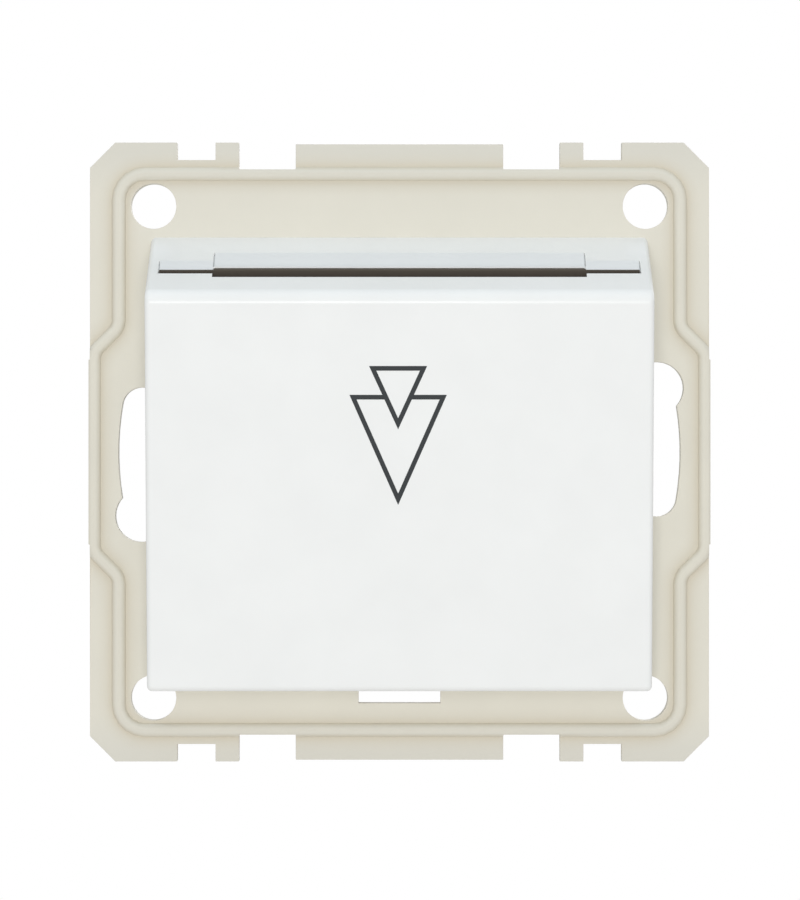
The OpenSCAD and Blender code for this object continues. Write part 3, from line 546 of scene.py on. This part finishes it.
class CARD_OT_cover(bpy.types.Operator):
    """Dress the front cover"""

    bl_idname = "card_switch.cover"
    bl_label = "Front cover"

    def execute(self, context):
        edges = context.scene.card_switch.edges
        bm = merged_copy("front_cover")
        for side in (-1, 1):
            flank = max(
                (face for face in bm.faces if face.calc_center_median().x * side > COVER_HIGH.x - MERGE),
                key=lambda face: face.calc_area(),
            )
            round_rim(bm, flank, edges.cover_side, FLANK_STEPS)
        self.close_to_plate(bm, edges.cover_side)
        open_edges = [
            edge for edge in sharp_edges(bm) if any(vert.co.y < PLATE_FACE - MERGE for vert in edge.verts)
        ]
        round_edges(bm, open_edges, edges.cover_break)
        self.end_grooves(bm, edges.groove_width, edges.groove_depth)
        smooth_faces(bm)
        piece = new_piece("cover", bm, "cover_plastic")
        level_faces(piece)
        piece.data.materials.append(finish_of("lead_in"))
        self.paint_lead_in(piece.data)
        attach(piece, "housing")
        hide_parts("front_cover")
        return {"FINISHED"}

    def close_to_plate(self, bm, radius):
        """Bring the rounded flanks' back corners to the plate again, along the sloped top and the underside."""
        for vert in list(bm.verts):
            gap = PLATE_FACE - vert.co.y
            if abs(vert.co.x) > COVER_HIGH.x - radius - MERGE and MERGE < gap < radius * CORNER_REACH:
                rise = gap * COVER_TOP_DROP / COVER_TOP_RUN if vert.co.z > COVER_MIDDLE else 0
                bmesh.ops.translate(bm, verts=[vert], vec=(0, gap, rise))

    def is_lead_in(self, normal, height):
        """Whether a face is one of the slopes that lead to the slot."""
        least, most = LEAD_IN_TILT
        tilt = math.degrees(math.atan2(normal.z, -normal.y))
        return abs(normal.x) < SQUARE and least < tilt < most and height > LEAD_IN_FOOT

    def end_grooves(self, bm, width, depth):
        """Cut a fine groove at each outer end of the slopes that lead to the slot."""
        for side in (-1, 1):
            for slope in [f for f in bm.faces if self.is_lead_in(f.normal, f.calc_center_median().z)]:
                end = max(vert.co.x * side for vert in slope.verts)
                if end < 0:
                    continue
                made = bmesh.ops.bisect_plane(
                    bm, geom=[slope, *slope.edges, *slope.verts], plane_co=(side * (end - width), 0, 0),
                    plane_no=(side, 0, 0),
                )["geom"]
                strip = [
                    part for part in made
                    if isinstance(part, bmesh.types.BMFace) and part.calc_center_median().x * side > end - width
                ]
                bmesh.ops.inset_individual(
                    bm, faces=strip, thickness=width * GROOVE_TAPER, depth=-depth, use_even_offset=True
                )

    def paint_lead_in(self, mesh):
        """Give the slopes that lead to the slot their satin finish, whose greyer colour is painted shade."""
        for face in mesh.polygons:
            if self.is_lead_in(face.normal, face.center.z):
                face.material_index = 1


class CARD_OT_guide(bpy.types.Operator):
    """Dress the card guide and the lever with its pin"""

    bl_idname = "card_switch.guide"
    bl_label = "Card guide and lever"

    def execute(self, context):
        radius = context.scene.card_switch.edges.inner_break
        soften("guide", "card_guide", radius, shape=self.reach_slot_ends)
        soften("lever", "card_lever", radius)
        repaint("lever_pin")
        return {"FINISHED"}

    def reach_slot_ends(self, bm):
        """Let the tongue end close to the ends of the card slot."""
        for side in (-1, 1):
            tip = [vert for vert in bm.verts if vert.co.x * side > TONGUE_END - MERGE and vert.co.z > TONGUE_FOOT]
            bmesh.ops.translate(bm, verts=tip, vec=(side * TONGUE_REACH, 0, 0))


class CARD_OT_insert(bpy.types.Operator):
    """Dress the switch insert's two halves and its plunger"""

    bl_idname = "card_switch.insert"
    bl_label = "Switch insert"

    def execute(self, context):
        radius = context.scene.card_switch.edges.inner_break
        soften("insert_front", "insert_cap", radius)
        soften("insert_back", "insert_base", radius)
        repaint("plunger")
        return {"FINISHED"}


class CARD_OT_fasteners(bpy.types.Operator):
    """Dress the screws"""

    bl_idname = "card_switch.fasteners"
    bl_label = "Screws"

    def execute(self, context):
        radius = context.scene.card_switch.edges.metal_break
        for node in ("guide_screws", "housing_screws", "terminal_screw_left", "terminal_screw_right"):
            soften(node.replace("screw", "fixing"), node, radius)
        return {"FINISHED"}


class CARD_OT_contacts(bpy.types.Operator):
    """Dress the contacts, their ring and the terminal cages"""

    bl_idname = "card_switch.contacts"
    bl_label = "Contacts"

    def execute(self, context):
        for node, slot in SLOT_OF.items():
            if slot in ("brass", "silver") or node == "retaining_ring":
                repaint(node)
        return {"FINISHED"}


def carry_on(bm, ring, step):
    """Extrude a ring of edges by a step and give its new edges."""
    made = bmesh.ops.extrude_edge_only(bm, edges=ring)["geom"]
    bmesh.ops.translate(bm, verts=[g for g in made if isinstance(g, bmesh.types.BMVert)], vec=step)
    return [g for g in made if isinstance(g, bmesh.types.BMEdge)]


def wind(bm, ring, centre, axis, turns, rise, steps):
    """Wind a ring of edges round an axis, with a rise along it, and give its last edges."""
    count = round(turns * steps)
    made = bmesh.ops.spin(
        bm, geom=ring, cent=centre, axis=axis, dvec=axis * (rise / count), angle=turns * math.tau, steps=count,
        use_merge=False, use_duplicate=False,
    )["geom_last"]
    return [g for g in made if isinstance(g, bmesh.types.BMEdge)]


def wire_start(bm, springs, radius, placed):
    """The round end of a wire, and its ring of edges."""
    bmesh.ops.create_circle(bm, cap_ends=True, segments=springs.wire_sides, radius=radius, matrix=placed)
    return list(bm.edges)


def closed_wire(bm):
    """Close the wire's far end and point its faces outwards."""
    bmesh.ops.holes_fill(bm, edges=[edge for edge in bm.edges if edge.is_boundary], sides=0)
    bmesh.ops.remove_doubles(bm, verts=bm.verts, dist=MERGE)
    bmesh.ops.recalc_face_normals(bm, faces=bm.faces)
    smooth_faces(bm, WIRE_SMOOTH)


class CARD_OT_springs(bpy.types.Operator):
    """Wind the return spring and the lever spring"""

    bl_idname = "card_switch.springs"
    bl_label = "Springs"

    def execute(self, context):
        springs = context.scene.card_switch.springs
        self.return_spring(springs)
        self.lever_spring(springs)
        return {"FINISHED"}

    def return_spring(self, springs):
        """The plunger's spring, with a closed turn at each end."""
        low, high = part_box("return_spring")
        wire = springs.return_wire
        radius = high.x - wire
        axis = Vector((0, 1, 0))
        bm = bmesh.new()
        ring = wire_start(bm, springs, wire, Matrix.Translation((radius, low.y + wire, 0)))
        end_rise = CLOSED_PITCH * wire
        open_rise = high.y - low.y - 2 * wire - 2 * end_rise
        for turns, rise in ((1, end_rise), (springs.return_turns, open_rise), (1, end_rise)):
            ring = wind(bm, ring, Vector(), axis, turns, rise, springs.turn_steps)
        closed_wire(bm)
        piece = new_piece("return_coil", bm, "spring_steel")
        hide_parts("return_spring")
        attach(piece, "housing")
        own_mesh(piece)

    def lever_spring(self, springs):
        """The lever's spring, from its leg behind the arm round the pin to the plate."""
        low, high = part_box("lever_spring")
        wire = springs.lever_wire
        start_x, end_x = low.x + wire, high.x - wire
        radius = high.z - wire - HINGE.z
        leg = Vector((start_x, HINGE.y + radius, HINGE.z - springs.lever_leg))
        bm = bmesh.new()
        ring = wire_start(bm, springs, wire, Matrix.Translation(leg))
        for _ in range(LEG_STEPS):
            ring = carry_on(bm, ring, (0, 0, springs.lever_leg / LEG_STEPS))
        centre = Vector((start_x, HINGE.y, HINGE.z))
        ring = wind(
            bm, ring, centre, Vector((1, 0, 0)), springs.lever_turns, end_x - start_x, springs.turn_steps
        )
        carry_on(bm, ring, (0, PLATE_FACE - HINGE.y, 0))
        closed_wire(bm)
        piece = new_piece("lever_coil", bm, "spring_steel")
        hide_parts("lever_spring")
        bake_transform(piece)


def triangle_line(bm, width, top, height, line):
    """Draw the outline of a triangle that points down, as flat faces in X and Z."""
    corners = [bm.verts.new((x, 0, z)) for x, z in ((-width / 2, top), (width / 2, top), (0, top - height))]
    face = bm.faces.new(corners)
    face.normal_update()
    bmesh.ops.inset_region(bm, faces=[face], thickness=line, use_boundary=True, use_even_offset=True)
    bmesh.ops.delete(bm, geom=[face], context="FACES")


class CARD_OT_arrow(bpy.types.Operator):
    """Print the card arrow on the cover's front"""

    bl_idname = "card_switch.arrow"
    bl_label = "Card arrow"

    def execute(self, context):
        arrow = context.scene.card_switch.arrow
        bm = bmesh.new()
        triangle_line(bm, arrow.large_width, arrow.large_top, arrow.large_height, arrow.line)
        slope = Vector((arrow.small_height, 0, arrow.small_width / 2)).normalized()
        tip = Vector((0, 0, arrow.small_top - arrow.small_height))
        for normal in (slope, Vector((-slope.x, 0, slope.z))):
            bar = [face for face in bm.faces if face.calc_center_median().z > arrow.large_top - arrow.line]
            parts = {part for face in bar for part in (face, *face.edges, *face.verts)}
            bmesh.ops.bisect_plane(bm, geom=list(parts), plane_co=tip, plane_no=(normal.x, 0, -normal.z))
        hidden = [
            face for face in bm.faces
            if abs(face.calc_center_median().x) * arrow.small_height
            < (face.calc_center_median().z - tip.z) * arrow.small_width / 2
        ]
        bmesh.ops.delete(bm, geom=hidden, context="FACES")
        triangle_line(bm, arrow.small_width, arrow.small_top, arrow.small_height, arrow.line)
        made = bmesh.ops.extrude_face_region(bm, geom=bm.faces[:])["geom"]
        bmesh.ops.translate(
            bm, verts=[g for g in made if isinstance(g, bmesh.types.BMVert)], vec=(0, -arrow.film, 0)
        )
        bmesh.ops.recalc_face_normals(bm, faces=bm.faces)
        bmesh.ops.transform(bm, matrix=front_slope() @ Matrix.Translation((-arrow.aside, 0, 0)), verts=bm.verts)
        piece = new_piece("card_arrow", bm, "ink")
        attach(piece, "housing")
        return {"FINISHED"}


def front_slope():
    """The move that lays a flat drawing in X and Z on the cover's sloped front."""
    points = [
        vert.co for vert in frame["nodes"]["front_cover"].data.vertices if abs(vert.co.x) > COVER_HIGH.x - MERGE
    ]
    high = min((p for p in points if p.z > COVER_MIDDLE), key=lambda p: p.y + p.z * COVER_FRONT_LEAN)
    low = min((p for p in points if p.z < COVER_MIDDLE), key=lambda p: p.y + p.z * COVER_FRONT_LEAN)
    lean = (high.y - low.y) / (high.z - low.z)
    return Matrix(((1, 0, 0, 0), (0, 1, lean, low.y - lean * low.z), (0, 0, 1, 0), (0, 0, 0, 1)))


# Stage


def area_light(name, place, size, tint, watts, mirrored):
    """A square soft light that looks at the origin."""
    light = bpy.data.lights.new(name, "AREA")
    light.shape, light.size, light.energy, light.color = "SQUARE", size, watts, tint
    lamp = bpy.data.objects.new(name, light)
    lamp.location = place
    lamp.rotation_mode = "QUATERNION"
    lamp.rotation_quaternion = (-Vector(place)).to_track_quat("-Z", "Y")
    lamp.visible_glossy = mirrored
    bpy.context.collection.objects.link(lamp)


class CARD_OT_stage(bpy.types.Operator):
    """Set the camera, the light and the floor"""

    bl_idname = "card_switch.stage"
    bl_label = "Stage"

    def execute(self, context):
        studio = context.scene.card_switch.studio
        context.scene.view_settings.view_transform = "Standard"
        self.camera(context, studio)
        self.sky(context, studio)
        for name, place, size, tint, mirrored in LAMPS:
            area_light(f"{name}_light", place, size, tint, getattr(studio, f"{name}_power"), mirrored)
        self.floor(context, studio)
        return {"FINISHED"}

    def camera(self, context, studio):
        """A camera square to the plate."""
        view = bpy.data.cameras.new("camera")
        view.lens, view.sensor_width = studio.lens, SENSOR
        view.clip_start, view.clip_end = CLIP_NEAR, CLIP_FAR
        camera = bpy.data.objects.new("camera", view)
        camera.location = (studio.camera_aside, -studio.distance, studio.camera_height)
        camera.rotation_euler = (math.pi / 2, 0, 0)
        context.collection.objects.link(camera)
        context.scene.camera = camera

    def sky(self, context, studio):
        """An even sky, which the camera, reflections and clear materials see as white."""
        world = bpy.data.worlds.new("studio")
        world.use_nodes = True
        world.node_tree.nodes.clear()
        bench = Bench(world.node_tree)
        path = [
            bench.node("ShaderNodeLightPath", output=name)
            for name in ("Is Camera Ray", "Is Glossy Ray", "Is Transmission Ray")
        ]
        upward = bench.along(bench.node("ShaderNodeTexCoord", output="Generated"), "Z")
        tone = bench.tint(0.5 + upward * 0.5, opaque(studio.sky_down), opaque(studio.sky_up))
        even = bench.node("ShaderNodeBackground", {}, {"Color": tone, "Strength": 1.0})
        white = bench.node("ShaderNodeBackground", {}, {"Color": (1, 1, 1, 1), "Strength": 1.0})
        seen = bench.node("ShaderNodeMixShader", {}, {0: path[0] + path[1] + path[2], 1: even, 2: white})
        output = world.node_tree.nodes.new("ShaderNodeOutputWorld")
        bench.feed(output, {"Surface": seen})
        context.scene.world = world

    def floor(self, context, studio):
        """A round pale floor below the part, which fades out towards its rim."""
        bm = bmesh.new()
        bmesh.ops.create_circle(
            bm, cap_ends=True, segments=FLOOR_SIDES, radius=studio.floor_radius,
            matrix=Matrix.Translation((0, 0, -studio.floor_drop)),
        )
        mesh = bpy.data.meshes.new("floor")
        bm.to_mesh(mesh)
        bm.free()
        finish, bench, shader = new_finish("studio floor", {"Roughness": FLOOR_ROUGHNESS})
        soft = bench.noise(bench.place(), FLOOR_CLOUD)
        reach = bench.node(
            "ShaderNodeVectorMath", {"operation": "LENGTH"}, {0: bench.place((1, 1, 0))}, output="Value"
        )
        rgb = context.scene.card_switch.finishes.floor
        bench.feed(shader, {
            "Base Color": bench.toned(soft, rgb, FLOOR_TONES),
            "Alpha": 1 - bench.stepped(reach * (1 / studio.floor_radius), FLOOR_FADE),
        })
        mesh.materials.append(finish)
        floor = bpy.data.objects.new("floor", mesh)
        context.collection.objects.link(floor)


# Sidebar


PIECES = (
    CARD_OT_stage, CARD_OT_plate, CARD_OT_cover, CARD_OT_guide, CARD_OT_insert, CARD_OT_fasteners, CARD_OT_contacts,
    CARD_OT_springs, CARD_OT_arrow,
)


class CARD_PT_switch(bpy.types.Panel):
    """Settings and pieces of the key card switch"""

    bl_label = "Key card switch"
    bl_idname = "CARD_PT_switch"
    bl_space_type = "VIEW_3D"
    bl_region_type = "UI"
    bl_category = "Key card"

    def draw(self, context):
        settings = context.scene.card_switch
        for name in ("edges", "arrow", "springs", "finishes", "studio"):
            box = self.layout.box()
            group = getattr(settings, name)
            for key in group.__annotations__:
                box.prop(group, key)
        for piece in PIECES:
            self.layout.operator(piece.bl_idname)


CLASSES = (EdgeSizes, ArrowSizes, SpringSizes, Finishes, Studio, CardSwitch, *PIECES, CARD_PT_switch)


def register():
    for cls in CLASSES:
        bpy.utils.register_class(cls)
    bpy.types.Scene.card_switch = PointerProperty(type=CardSwitch)


def unregister():
    del bpy.types.Scene.card_switch
    for cls in reversed(CLASSES):
        bpy.utils.unregister_class(cls)


def main():
    register()
    bpy.ops.card_switch.stage()
    bpy.ops.card_switch.plate()
    bpy.ops.card_switch.cover()
    bpy.ops.card_switch.guide()
    bpy.ops.card_switch.insert()
    bpy.ops.card_switch.fasteners()
    bpy.ops.card_switch.contacts()
    bpy.ops.card_switch.springs()
    bpy.ops.card_switch.arrow()


if __name__ == "__main__":
    main()
